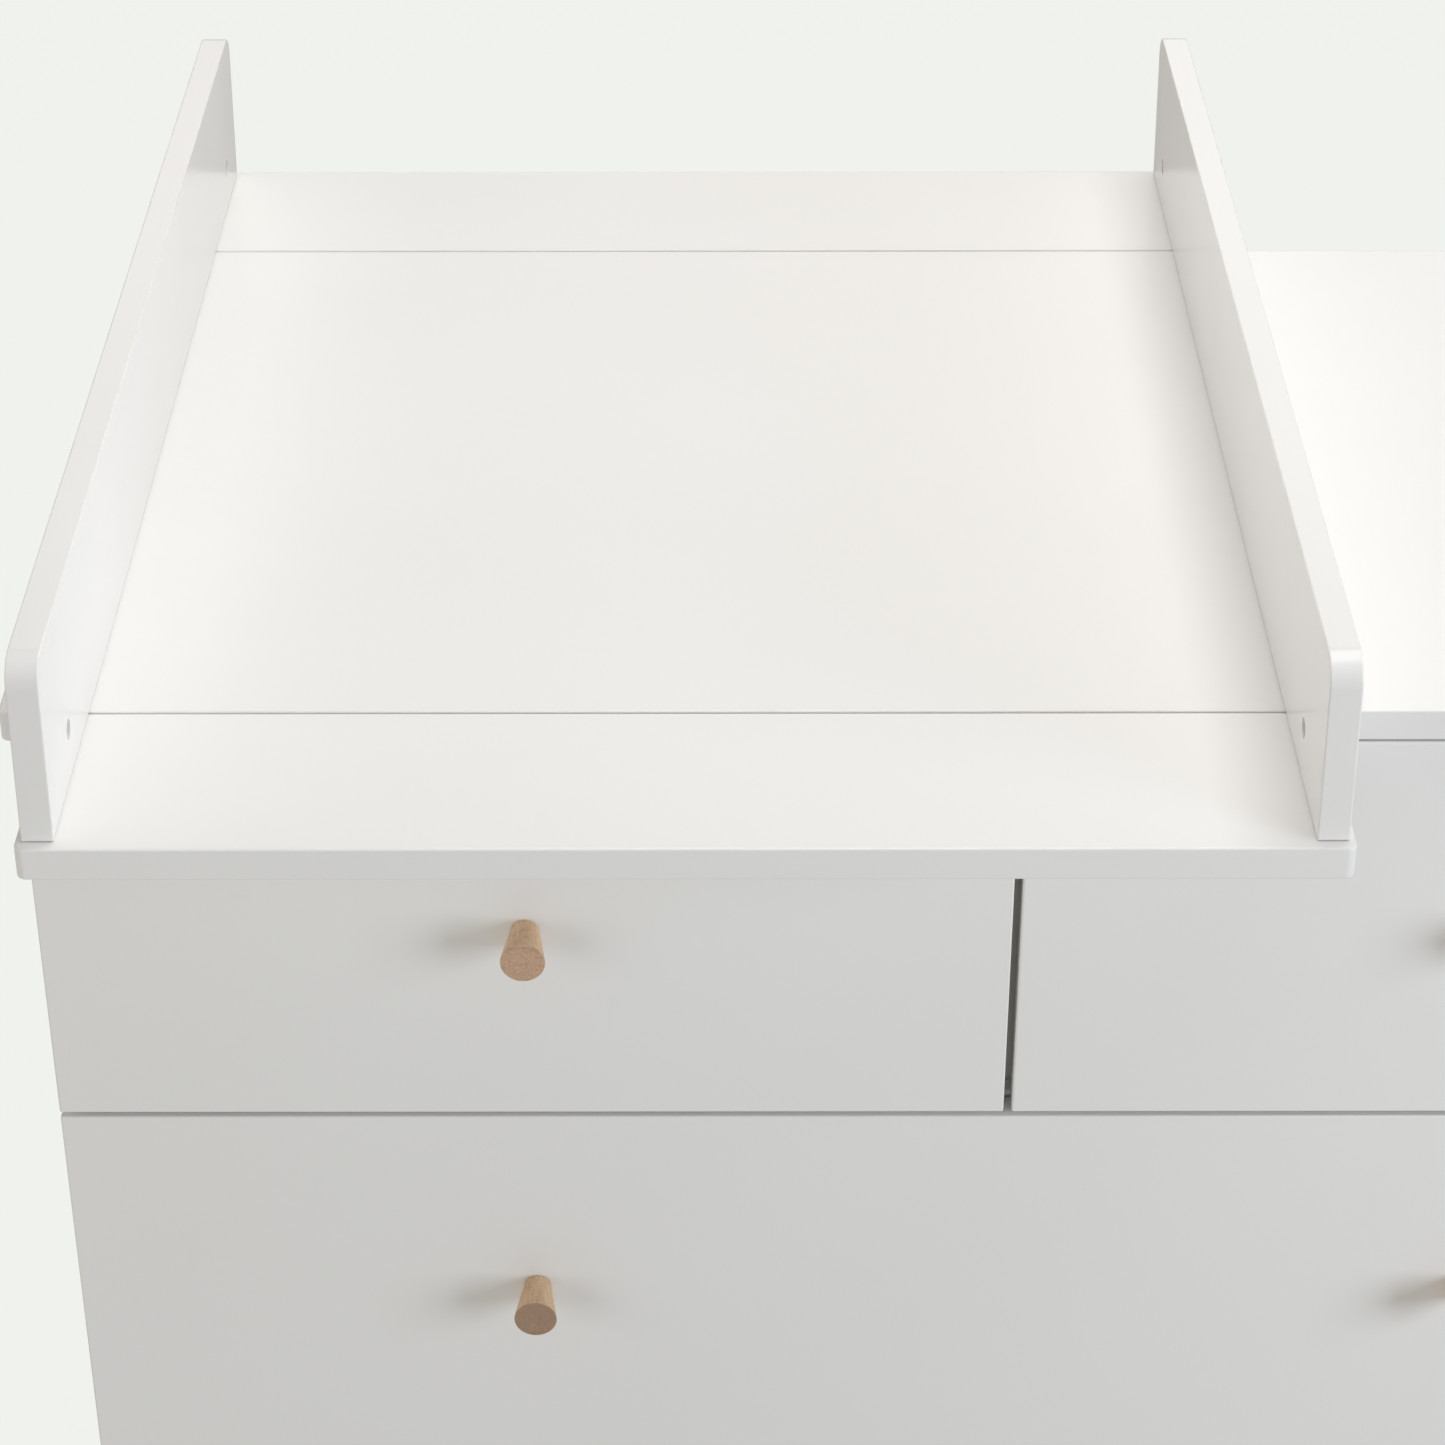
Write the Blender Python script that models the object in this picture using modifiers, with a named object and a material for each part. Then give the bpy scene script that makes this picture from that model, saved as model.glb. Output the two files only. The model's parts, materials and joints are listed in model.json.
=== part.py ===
"""Changing table: a dresser with four drawers and a changing tray on its top.

Metres, +Z up. The origin is on the floor under the middle of the dresser, the drawers
open towards -Y, and the tray stands towards the -X end. Run with
blender --background --python part.py, or from the text editor.
"""
import math

import bmesh
import bpy

# ---------------------------------------------------------------- driving dimensions
FIT = 0.0003                    # gap between pieces that touch

# Dresser
TOP_WIDTH = 1.059               # dresser top, end to end
TOP_DEPTH = 0.559               # dresser top, front to rear
TOP_CORNER = 0.004              # corner radius of the dresser top, seen from above
TOP_OVERHANG = 0.007            # dresser top past the cabinet at each end
BOARD = 0.018                   # thickness of the dresser's and the tray's boards
BACK_THICKNESS = 0.006
RAIL_DEPTH = 0.090              # front to rear depth of the rail between the lower rows
LACQUER_ROUND = 0.0012          # rounded edge of the lacquered boards that show
INNER_ROUND = 0.0008            # eased edge of the boards inside
LEG_HEIGHT = 0.1215
LEG_TOP_DIAMETER = 0.044
LEG_FOOT_DIAMETER = 0.028
LEG_EASE = 0.002                # rounded rim of the foot
LEG_INSET = 0.045               # leg's centre from the cabinet's outer faces

# Drawers
FRONT_THICKNESS = 0.018
FRONT_STANDOFF = 0.002          # gap between a closed front and the cabinet's front edges
UPPER_FRONT_HEIGHT = 0.2414
LOWER_FRONT_HEIGHT = 0.246
TOP_GAP = 0.0011                # gap between the upper fronts and the dresser top
ROW_GAP = 0.003                 # gap between two rows of fronts
CENTRE_GAP = 0.0045             # gap between the two upper fronts
BOX_WALL = 0.012
BOX_BOTTOM = 0.006
BOX_FLOOR_CLEARANCE = 0.014     # under a drawer box
BOX_CEILING_CLEARANCE = 0.040   # above a drawer box
BOX_REAR_CLEARANCE = 0.030      # behind a drawer box
GROOVE_DEPTH = 0.005            # groove that holds the drawer's bottom
GROOVE_RISE = 0.010             # groove above the lower edge of the drawer's sides

# Runners
RUNNER_SPACE = 0.0127           # between a drawer box and the cabinet, at each side
RUNNER_CLEARANCE = 0.0027       # between the runner and the drawer box
RUNNER_HEIGHT = 0.046
RUNNER_SHEET = 0.0012
RUNNER_RISE = 0.036             # runner above the lower edge of the drawer's sides
RUNNER_SETBACK = 0.003          # runner behind the cabinet's front edge
RUNNER_REAR_CLEARANCE = 0.024   # behind the runner

# Knobs
KNOB_LENGTH = 0.0285
KNOB_END_DIAMETER = 0.024
KNOB_BASE_DIAMETER = 0.0155
KNOB_EASE = 0.0006              # rounded rims of the knob
KNOB_RISE = 0.0016              # knob's axis above the middle of its front
KNOB_BORE_DIAMETER = 0.0046
KNOB_BORE_DEPTH = 0.018
SCREW_HOLE_DIAMETER = 0.005     # clearance hole through a drawer front

# Changing tray
TRAY_WIDTH = 0.6525             # the tray's front and back boards, end to end
TRAY_BOARD_DEPTH = 0.125        # front to rear depth of each of the two boards
TRAY_END_SETBACK = 0.0283       # tray's left end from the dresser top's left end
TRAY_SEAM = 0.0015              # seam between the dresser top and a tray board
TRAY_CORNER = 0.005             # outer corner radius of the two boards, seen from above
PANEL_THICKNESS = 0.016         # side panels of the tray
PANEL_HEIGHT = 0.101
PANEL_CORNER = 0.0155           # radius of the panels' upper corners
PANEL_LEAN = 0.0014             # a panel's top further in than its foot
PANEL_ROUND = 0.0009            # rounded edges of the panels
PANEL_END_INSET = 0.00325       # panel's outer face from the boards' ends
PANEL_FRONT_SETBACK = 0.0065    # panel's front end from the front board's front edge
PANEL_REAR_SETBACK = 0.0048     # panel's rear end from the back board's rear edge
NUT_FROM_FRONT_END = 0.062      # barrel nut's axis from the panel's front end
NUT_FROM_REAR_END = 0.0485      # barrel nut's axis from the panel's rear end
NUT_HEIGHT = 0.026              # barrel nut's axis above the changing surface
NUT_HOLE_DIAMETER = 0.0108
NUT_RECESS = 0.004              # nut's end below the panel's inner face
NUT_SLOT_WIDTH = 0.0014
NUT_SLOT_DEPTH = 0.001
BOLT_DIAMETER = 0.006
BOLT_HOLE_CLEARANCE = 0.0005    # around the bolt, in the boards and the panels
BOLT_PAST_NUT = 0.002           # bolt's end above the nut
BOLT_HEAD_DIAMETER = 0.012
BOLT_HEAD_HEIGHT = 0.0035
BOLT_HEAD_SINK = 0.0008         # bolt's head above the board's underside
SOCKET_ACROSS = 0.004
SOCKET_DEPTH = 0.002

# Brackets that hold the tray to the dresser's back
BRACKET_WIDTH = 0.020
BRACKET_LEG = 0.040
BRACKET_SHEET = 0.002
BRACKET_SPACING = 0.420         # between the two brackets' middles
BRACKET_HOLE_DIAMETER = 0.0045
BRACKET_HOLE_FROM_END = 0.012

# ---------------------------------------------------------------- places worked out
CABINET_HALF = TOP_WIDTH / 2 - TOP_OVERHANG
INNER_HALF = CABINET_HALF - BOARD
FACE_Y = -TOP_DEPTH / 2
CABINET_FRONT = FACE_Y + FRONT_THICKNESS + FRONT_STANDOFF
CABINET_REAR = TOP_DEPTH / 2
INNER_REAR = CABINET_REAR - BACK_THICKNESS - FIT
LOWER_Z = LEG_HEIGHT
MIDDLE_Z = LOWER_Z + LOWER_FRONT_HEIGHT + ROW_GAP
UPPER_Z = MIDDLE_Z + LOWER_FRONT_HEIGHT + ROW_GAP
CABINET_TOP = UPPER_Z + UPPER_FRONT_HEIGHT + TOP_GAP
SURFACE_Z = CABINET_TOP + BOARD
RAIL_Z = MIDDLE_Z - ROW_GAP / 2
SHELF_Z = UPPER_Z - ROW_GAP / 2
UPPER_FRONT_WIDTH = CABINET_HALF - CENTRE_GAP / 2
UPPER_FRONT_X = (CABINET_HALF + CENTRE_GAP / 2) / 2
TRAY_X = -TOP_WIDTH / 2 + TRAY_END_SETBACK + TRAY_WIDTH / 2
TRAY_REAR = TOP_DEPTH / 2 + TRAY_SEAM + TRAY_BOARD_DEPTH
PANEL_X = TRAY_WIDTH / 2 - PANEL_END_INSET - PANEL_THICKNESS / 2
PANEL_FRONT = PANEL_FRONT_SETBACK - TRAY_REAR
PANEL_REAR = TRAY_REAR - PANEL_REAR_SETBACK
NUT_Y = {"front": PANEL_FRONT + NUT_FROM_FRONT_END, "rear": PANEL_REAR - NUT_FROM_REAR_END}
NUT_RADIUS = NUT_HOLE_DIAMETER / 2 - FIT
NUT_LENGTH = PANEL_THICKNESS - 2 * NUT_RECESS
BOLT_HOLE_RADIUS = BOLT_DIAMETER / 2 + BOLT_HOLE_CLEARANCE
SIDES = {"left": -1, "right": 1}
ENDS = {"front": -1, "rear": 1}
PAST = 0.005                    # how far a cutter runs past the face it opens

# ---------------------------------------------------------------- scene and materials


def clear_scene():
    """Remove every object, so that a second run starts clean."""
    for scene_object in list(bpy.data.objects):
        bpy.data.objects.remove(scene_object, do_unlink=True)
    for old_collection in list(bpy.data.collections):
        bpy.data.collections.remove(old_collection)


def new_collection(name):
    """A collection linked to the scene."""
    collection = bpy.data.collections.new(name)
    bpy.context.scene.collection.children.link(collection)
    return collection


def new_material(name, colour, roughness, metallic=0.0):
    """A Principled material."""
    material = bpy.data.materials.new(name)
    material.use_nodes = True
    material.diffuse_color = (*colour, 1.0)
    shader = material.node_tree.nodes["Principled BSDF"]
    shader.inputs["Base Color"].default_value = (*colour, 1.0)
    shader.inputs["Roughness"].default_value = roughness
    shader.inputs["Metallic"].default_value = metallic
    return material


# ---------------------------------------------------------------- shape helpers


def add_object(name, mesh, material, collection, parent=None, location=(0, 0, 0), rotation=(0, 0, 0)):
    """An object of the mesh, placed under its parent."""
    made = bpy.data.objects.new(name, mesh)
    collection.objects.link(made)
    made.parent = parent
    made.location = location
    made.rotation_euler = rotation
    if material:
        mesh.materials.append(material)
    return made


def add_empty(name, location):
    """An empty that the pieces of one assembly are parented to."""
    empty = bpy.data.objects.new(name, None)
    PARTS.objects.link(empty)
    empty.location = location
    return empty


def box_mesh(name, size):
    """A box about its own middle, with its size in the mesh and no object scale."""
    mesh = bpy.data.meshes.new(name)
    shape = bmesh.new()
    bmesh.ops.create_cube(shape, size=1.0)
    bmesh.ops.scale(shape, vec=size, verts=shape.verts)
    shape.to_mesh(mesh)
    shape.free()
    return mesh


def round_some_edges(mesh, radius, segments, wanted):
    """Bevel those edges of a mesh whose middle passes the test."""
    shape = bmesh.new()
    shape.from_mesh(mesh)
    edges = [edge for edge in shape.edges if wanted(*((edge.verts[0].co + edge.verts[1].co) / 2))]
    bmesh.ops.bevel(shape, geom=edges, offset=radius, segments=segments, profile=0.5, affect="EDGES")
    shape.to_mesh(mesh)
    shape.free()


def ease_edges(piece, width, segments):
    """Round every sharp edge of a piece."""
    bevel = piece.modifiers.new("rounded edges", "BEVEL")
    bevel.width = width
    bevel.segments = segments
    bevel.limit_method = "ANGLE"
    bevel.angle_limit = math.radians(40)


def board(name, low, high, material, rounding=INNER_ROUND, segments=1, parent=None, corners=None):
    """A board between two corners; corners is (radius, segments, test) for larger radii."""
    size = [b - a for a, b in zip(low, high)]
    middle = [(a + b) / 2 for a, b in zip(low, high)]
    mesh = box_mesh(name, size)
    if corners:
        round_some_edges(mesh, *corners)
    piece = add_object(name, mesh, material, PARTS, parent, middle)
    ease_edges(piece, rounding, segments)
    return piece


def turned(name, profile, steps, material, parent=None, location=(0, 0, 0), rotation=(0, 0, 0)):
    """A turned piece: (radius, height) points, from the top down the outer side."""
    mesh = bpy.data.meshes.new(name)
    points = [(radius, 0, height) for radius, height in profile]
    mesh.from_pydata(points, [(i, i + 1) for i in range(len(points) - 1)], [])
    piece = add_object(name, mesh, material, PARTS, parent, location, rotation)
    screw = piece.modifiers.new("turned", "SCREW")
    screw.axis = "Z"
    screw.steps = steps
    screw.render_steps = steps
    screw.use_merge_vertices = True
    screw.merge_threshold = 0.00005
    screw.use_smooth_shade = True
    return piece


def folded(name, outline, length, sheet, material, parent, location, rotation):
    """A folded strip of sheet: the outline lies in XZ, and the strip runs along +Y."""
    mesh = bpy.data.meshes.new(name)
    shape = bmesh.new()
    corners = [shape.verts.new((x, 0, z)) for x, z in outline]
    edges = [shape.edges.new(pair) for pair in zip(corners, corners[1:])]
    swept = bmesh.ops.extrude_edge_only(shape, edges=edges)
    far_side = [item for item in swept["geom"] if isinstance(item, bmesh.types.BMVert)]
    bmesh.ops.translate(shape, vec=(0, length, 0), verts=far_side)
    shape.to_mesh(mesh)
    shape.free()
    piece = add_object(name, mesh, material, PARTS, parent, location, rotation)
    solid = piece.modifiers.new("sheet", "SOLIDIFY")
    solid.thickness = sheet
    solid.offset = -1
    solid.use_even_offset = True
    return piece


def cut(piece, cutter):
    """Cut one shape out of a piece."""
    cutter.hide_render = True
    cutter.display_type = "WIRE"
    boolean = piece.modifiers.new(cutter.name, "BOOLEAN")
    boolean.operation = "DIFFERENCE"
    boolean.solver = "EXACT"
    boolean.object = cutter


def drill(piece, diameter, start, axis, depth, sides=24):
    """Drill a round hole from start along an axis ("X", "Y" or "Z"; a negative depth runs back)."""
    mesh = bpy.data.meshes.new(piece.name + "_hole")
    shape = bmesh.new()
    bmesh.ops.create_cone(shape, cap_ends=True, segments=sides, radius1=diameter / 2,
                          radius2=diameter / 2, depth=abs(depth))
    shape.to_mesh(mesh)
    shape.free()
    turn = {"X": (0, math.pi / 2, 0), "Y": (math.pi / 2, 0, 0), "Z": (0, 0, 0)}[axis]
    middle = list(start)
    middle["XYZ".index(axis)] += depth / 2
    cut(piece, add_object(mesh.name, mesh, None, CUTTERS, piece.parent, middle, turn))


def carve(piece, low, high):
    """Cut a box out of a piece; the corners are in the frame of the piece's parent."""
    size = [b - a for a, b in zip(low, high)]
    middle = [(a + b) / 2 for a, b in zip(low, high)]
    mesh = box_mesh(piece.name + "_groove", size)
    cut(piece, add_object(mesh.name, mesh, None, CUTTERS, piece.parent, middle))


# ---------------------------------------------------------------- cabinet


def dresser_top():
    """The dresser's top board, flush with the drawer fronts."""
    board("dresser_top", (-TOP_WIDTH / 2, FACE_Y, CABINET_TOP), (TOP_WIDTH / 2, CABINET_REAR, SURFACE_Z),
          LACQUER, LACQUER_ROUND, 3, corners=(TOP_CORNER, 3, lambda x, y, z: abs(z) < BOARD / 4))


def cabinet_sides():
    """The two end boards."""
    for side, sign in SIDES.items():
        low_x, high_x = sorted((sign * CABINET_HALF, sign * INNER_HALF))
        board("cabinet_side_" + side, (low_x, CABINET_FRONT, LEG_HEIGHT),
              (high_x, CABINET_REAR, CABINET_TOP - FIT), LACQUER)


def cabinet_boards():
    """The boards between the two ends: bottom, shelf, rail, divider and back."""
    reach = INNER_HALF - FIT
    half = BOARD / 2
    top = CABINET_TOP - FIT
    board("cabinet_bottom", (-reach, CABINET_FRONT, LEG_HEIGHT),
          (reach, INNER_REAR, LEG_HEIGHT + BOARD), LACQUER)
    board("middle_shelf", (-reach, CABINET_FRONT, SHELF_Z - half),
          (reach, INNER_REAR, SHELF_Z + half), LACQUER)
    board("lower_rail", (-reach, CABINET_FRONT, RAIL_Z - half),
          (reach, CABINET_FRONT + RAIL_DEPTH, RAIL_Z + half), LACQUER)
    board("centre_divider", (-half, CABINET_FRONT, SHELF_Z + half + FIT),
          (half, INNER_REAR, top), LACQUER)
    board("back_panel", (-reach, INNER_REAR + FIT, LEG_HEIGHT),
          (reach, CABINET_REAR, top), HARDBOARD)


def legs():
    """Four turned legs that taper to the floor."""
    top = LEG_HEIGHT - FIT
    foot = LEG_FOOT_DIAMETER / 2
    profile = [(0, top), (LEG_TOP_DIAMETER / 2, top), (foot, LEG_EASE), (foot - LEG_EASE, 0), (0, 0)]
    reach = CABINET_HALF - LEG_INSET
    places = {"front": CABINET_FRONT + LEG_INSET, "rear": CABINET_REAR - LEG_INSET}
    for end, y in places.items():
        for side, sign in SIDES.items():
            turned("leg_{}_{}".format(end, side), profile, 32, WOOD, location=(sign * reach, y, 0))


# ---------------------------------------------------------------- drawers


def drawer_front(name, drawer, width, height, knobs, groove):
    """The front board, with a stopped groove for the bottom and a screw hole for each knob."""
    front = board(name + "_front", (-width / 2, 0, 0), (width / 2, FRONT_THICKNESS, height), LACQUER,
                  LACQUER_ROUND, 3, drawer)
    low, high = groove
    carve(front, (low[0], FRONT_THICKNESS - GROOVE_DEPTH, low[1]), (high[0], FRONT_THICKNESS + PAST, high[1]))
    for knob_x in knobs.values():
        place = (knob_x, -PAST, height / 2 + KNOB_RISE)
        drill(front, SCREW_HOLE_DIAMETER, place, "Y", FRONT_THICKNESS + 2 * PAST, 12)


def drawer_knob(name, drawer, x, z):
    """A turned knob that widens towards its end, bored for its screw."""
    end = KNOB_END_DIAMETER / 2
    base = KNOB_BASE_DIAMETER / 2
    bore = KNOB_BORE_DIAMETER / 2
    top = KNOB_LENGTH
    profile = [(0, top), (end - KNOB_EASE, top), (end, top - KNOB_EASE), (base, KNOB_EASE),
               (base - KNOB_EASE, 0), (bore, 0), (bore, KNOB_BORE_DEPTH), (0, KNOB_BORE_DEPTH)]
    turned(name, profile, 40, WOOD, drawer, (x, -FIT, z), (math.pi / 2, 0, 0))


def drawer_box(name, drawer, low, high):
    """Sides, back and bottom of a drawer box between two corners in the drawer's frame."""
    groove_low = low[2] + GROOVE_RISE
    groove_high = groove_low + BOX_BOTTOM + 2 * FIT
    for side, sign in SIDES.items():
        outer = low[0] if sign < 0 else high[0]
        inner = outer - sign * BOX_WALL
        wall = board("{}_side_{}".format(name, side), (min(outer, inner), low[1], low[2]),
                     (max(outer, inner), high[1], high[2]), DRAWER_BOX, parent=drawer)
        groove_x = sorted((inner + sign * GROOVE_DEPTH, inner - sign * PAST))
        carve(wall, (groove_x[0], low[1] - PAST, groove_low), (groove_x[1], high[1] + PAST, groove_high))
    inside = (low[0] + BOX_WALL, high[0] - BOX_WALL)
    board(name + "_back", (inside[0] + FIT, high[1] - BOX_WALL, groove_high),
          (inside[1] - FIT, high[1], high[2]), DRAWER_BOX, parent=drawer)
    bottom_x = (inside[0] - GROOVE_DEPTH + FIT, inside[1] + GROOVE_DEPTH - FIT)
    board(name + "_bottom", (bottom_x[0], FRONT_THICKNESS - GROOVE_DEPTH + FIT, groove_low + FIT),
          (bottom_x[1], high[1], groove_high - FIT), HARDBOARD, parent=drawer)
    return (bottom_x[0] - FIT, groove_low), (bottom_x[1] + FIT, groove_high)


def runner(name, wall_x, facing, z):
    """A fixed channel on a cabinet wall; facing is +1 where it opens towards +X."""
    inset = RUNNER_SHEET + FIT
    depth = RUNNER_SPACE - RUNNER_CLEARANCE - inset
    top = RUNNER_HEIGHT - RUNNER_SHEET
    outline = [(depth, RUNNER_SHEET), (0, RUNNER_SHEET), (0, top), (depth, top)]
    start = CABINET_FRONT + RUNNER_SETBACK
    length = INNER_REAR - RUNNER_REAR_CLEARANCE - start
    if facing > 0:
        place, rotation = (wall_x + inset, start, z), (0, 0, 0)
    else:
        place, rotation = (wall_x - inset, start + length, z), (0, 0, math.pi)
    folded(name, outline, length, RUNNER_SHEET, STEEL, None, place, rotation)


def drawer(name, front_x, front_width, opening, row_z, front_height, floor, ceiling, knobs):
    """One drawer in its opening, with its knobs and its two fixed runners."""
    root = add_empty(name + "_origin", (front_x, FACE_Y, row_z))
    low = (opening[0] + RUNNER_SPACE - front_x, FRONT_THICKNESS + FIT, floor + BOX_FLOOR_CLEARANCE - row_z)
    high = (opening[1] - RUNNER_SPACE - front_x, INNER_REAR - BOX_REAR_CLEARANCE - FACE_Y,
            ceiling - BOX_CEILING_CLEARANCE - row_z)
    groove = drawer_box(name, root, low, high)
    drawer_front(name, root, front_width, front_height, knobs, groove)
    for knob_name, knob_x in knobs.items():
        drawer_knob(knob_name, root, knob_x, front_height / 2 + KNOB_RISE)
    runner_z = row_z + low[2] + RUNNER_RISE
    runner(name + "_runner_left", opening[0], 1, runner_z)
    runner(name + "_runner_right", opening[1], -1, runner_z)


def drawers():
    """Two drawers side by side in the upper row, and one across each lower row."""
    half = BOARD / 2
    for side, sign in SIDES.items():
        name = "upper_" + side
        opening = sorted((sign * half, sign * INNER_HALF))
        drawer(name, sign * UPPER_FRONT_X, UPPER_FRONT_WIDTH, opening, UPPER_Z, UPPER_FRONT_HEIGHT,
               SHELF_Z + half, CABINET_TOP, {name + "_knob": 0})
    rows = {"middle": (MIDDLE_Z, RAIL_Z + half, SHELF_Z - half),
            "lower": (LOWER_Z, LEG_HEIGHT + BOARD, RAIL_Z - half)}
    for name, (row_z, floor, ceiling) in rows.items():
        knobs = {"{}_knob_{}".format(name, side): sign * UPPER_FRONT_X for side, sign in SIDES.items()}
        drawer(name, 0, 2 * CABINET_HALF, (-INNER_HALF, INNER_HALF), row_z, LOWER_FRONT_HEIGHT,
               floor, ceiling, knobs)


# ---------------------------------------------------------------- changing tray


def outer_corner(sign):
    """A test for the upright edges of a board on its outer side, at -Y or at +Y."""
    def is_wanted(x, y, z):
        return sign * y > TRAY_BOARD_DEPTH / 4 and abs(x) > TRAY_WIDTH / 4 and abs(z) < BOARD / 4
    return is_wanted


def tray_boards(tray):
    """The boards that widen the dresser top to the front and to the rear."""
    for end, sign in ENDS.items():
        near = sign * (TOP_DEPTH / 2 + TRAY_SEAM)
        far = sign * TRAY_REAR
        piece = board("tray_{}_board".format(end), (-TRAY_WIDTH / 2, min(near, far), -BOARD),
                      (TRAY_WIDTH / 2, max(near, far), 0), LACQUER, LACQUER_ROUND, 3, tray,
                      (TRAY_CORNER, 4, outer_corner(sign)))
        bolt_y = NUT_Y[end]
        for side in SIDES.values():
            bolt_x = side * PANEL_X
            drill(piece, 2 * BOLT_HOLE_RADIUS, (bolt_x, bolt_y, -BOARD - PAST), "Z", BOARD + 2 * PAST, 16)
            drill(piece, BOLT_HEAD_DIAMETER + 2 * BOLT_HOLE_CLEARANCE, (bolt_x, bolt_y, -BOARD - PAST), "Z",
                  PAST + BOLT_HEAD_SINK + BOLT_HEAD_HEIGHT + FIT)


def tray_sides(tray):
    """The two side panels, leaning in a little, drilled for the barrel nuts and their bolts."""
    for side, sign in SIDES.items():
        inner = sign * (PANEL_X - PANEL_THICKNESS / 2)
        outer = sign * (PANEL_X + PANEL_THICKNESS / 2)
        panel = board("tray_side_" + side, (min(inner, outer), PANEL_FRONT, FIT),
                      (max(inner, outer), PANEL_REAR, PANEL_HEIGHT), LACQUER, PANEL_ROUND, 3, tray,
                      (PANEL_CORNER, 10, lambda x, y, z: z > PANEL_HEIGHT / 4 and abs(y) > PANEL_CORNER))
        for vertex in panel.data.vertices:
            vertex.co.x -= sign * PANEL_LEAN * (vertex.co.z / PANEL_HEIGHT + 0.5)
        for nut_y in NUT_Y.values():
            depth = PAST + PANEL_THICKNESS - NUT_RECESS + FIT
            drill(panel, NUT_HOLE_DIAMETER, (inner - sign * PAST, nut_y, NUT_HEIGHT), "X", sign * depth, 32)
            drill(panel, 2 * BOLT_HOLE_RADIUS, (sign * PANEL_X, nut_y, -PAST), "Z",
                  PAST + NUT_HEIGHT + NUT_RADIUS + BOLT_PAST_NUT + FIT, 16)


def barrel_nut(name, tray, x, y, sign):
    """A barrel nut across the panel, with a cross hole for the bolt and a slot in its end."""
    half = NUT_LENGTH / 2
    profile = [(0, half), (NUT_RADIUS, half), (NUT_RADIUS, -half), (0, -half)]
    nut = turned(name, profile, 28, STEEL, tray, (x, y, NUT_HEIGHT), (0, math.pi / 2, 0))
    reach = NUT_RADIUS + PAST
    drill(nut, BOLT_DIAMETER + 2 * FIT, (x, y, NUT_HEIGHT - reach), "Z", 2 * reach, 16)
    slot = sorted((x - sign * (half - NUT_SLOT_DEPTH), x - sign * (half + PAST)))
    carve(nut, (slot[0], y - reach, NUT_HEIGHT - NUT_SLOT_WIDTH / 2),
          (slot[1], y + reach, NUT_HEIGHT + NUT_SLOT_WIDTH / 2))


def tray_bolt(name, tray, x, y):
    """A bolt from under a board up into its barrel nut."""
    base = -BOARD + BOLT_HEAD_SINK
    top = NUT_HEIGHT + NUT_RADIUS + BOLT_PAST_NUT - base
    shank = BOLT_DIAMETER / 2
    head = BOLT_HEAD_DIAMETER / 2
    profile = [(0, top), (shank, top), (shank, BOLT_HEAD_HEIGHT), (head, BOLT_HEAD_HEIGHT), (head, 0), (0, 0)]
    bolt = turned(name, profile, 20, STEEL, tray, (x, y, base))
    across_corners = SOCKET_ACROSS / math.cos(math.pi / 6)
    drill(bolt, across_corners, (x, y, base - PAST), "Z", PAST + SOCKET_DEPTH, 6)


def tray_fasteners(tray):
    """A barrel nut and a bolt where each panel crosses each board."""
    for end, y in NUT_Y.items():
        for side, sign in SIDES.items():
            place = "_{}_{}".format(end, side)
            barrel_nut("barrel_nut" + place, tray, sign * PANEL_X, y, sign)
            tray_bolt("tray_bolt" + place, tray, sign * PANEL_X, y)


def tray_brackets(tray):
    """Two folded angles between the back board's underside and the dresser's back."""
    leg = BRACKET_LEG - BRACKET_SHEET
    outline = [(0, -leg), (0, 0), (leg, 0)]
    corner_y = CABINET_REAR + FIT + BRACKET_SHEET
    corner_z = -BOARD - FIT - BRACKET_SHEET
    for side, sign in SIDES.items():
        x = sign * BRACKET_SPACING / 2
        bracket = folded("tray_bracket_" + side, outline, BRACKET_WIDTH, BRACKET_SHEET, STEEL, tray,
                         (x + BRACKET_WIDTH / 2, corner_y, corner_z), (0, 0, math.pi / 2))
        reach = leg - BRACKET_HOLE_FROM_END
        drill(bracket, BRACKET_HOLE_DIAMETER, (x, corner_y + reach, corner_z - PAST), "Z", 2 * PAST, 12)
        drill(bracket, BRACKET_HOLE_DIAMETER, (x, corner_y - PAST, corner_z - reach), "Y", 2 * PAST, 12)


def changing_tray():
    """The tray, about the middle of its floor on the changing surface."""
    tray = add_empty("tray_origin", (TRAY_X, 0, SURFACE_Z))
    tray_boards(tray)
    tray_sides(tray)
    tray_fasteners(tray)
    tray_brackets(tray)


# ---------------------------------------------------------------- the whole object
clear_scene()
PARTS = new_collection("changing_table")
CUTTERS = new_collection("cutters")
LACQUER = new_material("white_lacquer", (0.83, 0.82, 0.79), 0.35)
DRAWER_BOX = new_material("drawer_box_board", (0.78, 0.77, 0.74), 0.45)
HARDBOARD = new_material("painted_hardboard", (0.80, 0.79, 0.76), 0.50)
WOOD = new_material("natural_beech", (0.48, 0.31, 0.18), 0.55)
STEEL = new_material("zinc_plated_steel", (0.62, 0.62, 0.60), 0.35, 1.0)

dresser_top()
cabinet_sides()
cabinet_boards()
legs()
drawers()
changing_tray()
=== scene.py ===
"""Finishes, fittings and studio for the changing table.

Lengths are metres, +Z is up, the drawers open towards -Y and the wall is at +Y.
The packed model is the fixed frame, and every piece made here takes its place from it.
"""
import json
import math

import bmesh
import bpy
from bpy.props import FloatProperty, FloatVectorProperty, IntProperty, PointerProperty
from mathutils import Matrix, Vector

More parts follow.
